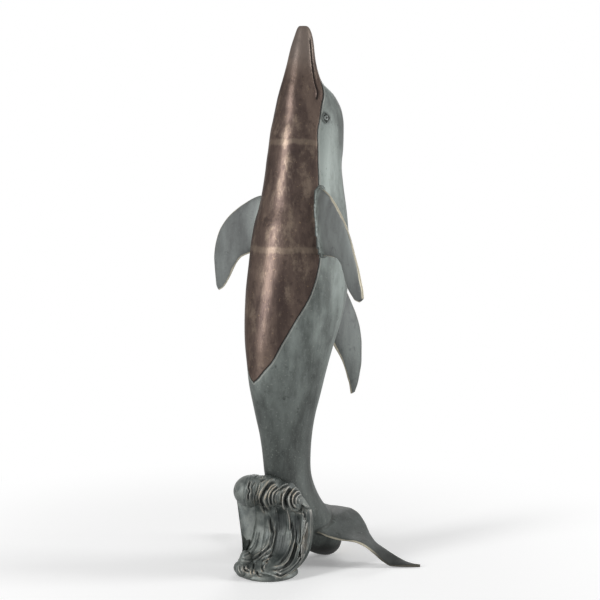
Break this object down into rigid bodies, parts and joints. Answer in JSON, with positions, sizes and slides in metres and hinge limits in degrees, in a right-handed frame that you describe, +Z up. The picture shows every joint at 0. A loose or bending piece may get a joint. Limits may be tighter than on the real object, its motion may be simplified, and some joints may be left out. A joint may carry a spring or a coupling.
{
  "type": "dolphin spitter statue",
  "caption": "Hollow cast brass garden statue of a leaping dolphin with a curling wave before its tail, piped to spit water from its beak.",
  "frame": {"origin": "middle of the wave's flat foot, on the ground", "axes": "+Z up, +Y from the dolphin's belly to its back, +X to the dolphin's left"},
  "size_m": [0.3745, 0.2801, 0.931],
  "materials": {
    "verdigris_brass": "cast brass with a grey-green patina, the belly rubbed to brown bronze",
    "dark_wave_brass": "cast brass with a dark grey-green patina, pale on the ridges",
    "copper_tube": "drawn copper, dull",
    "yellow_brass": "turned brass"
  },
  "bodies": {
    "root": {"dolphin": "verdigris_brass", "wave": "dark_wave_brass", "water_tube": "copper_tube", "inlet_fitting": "yellow_brass"}
  },
  "joints": []
}
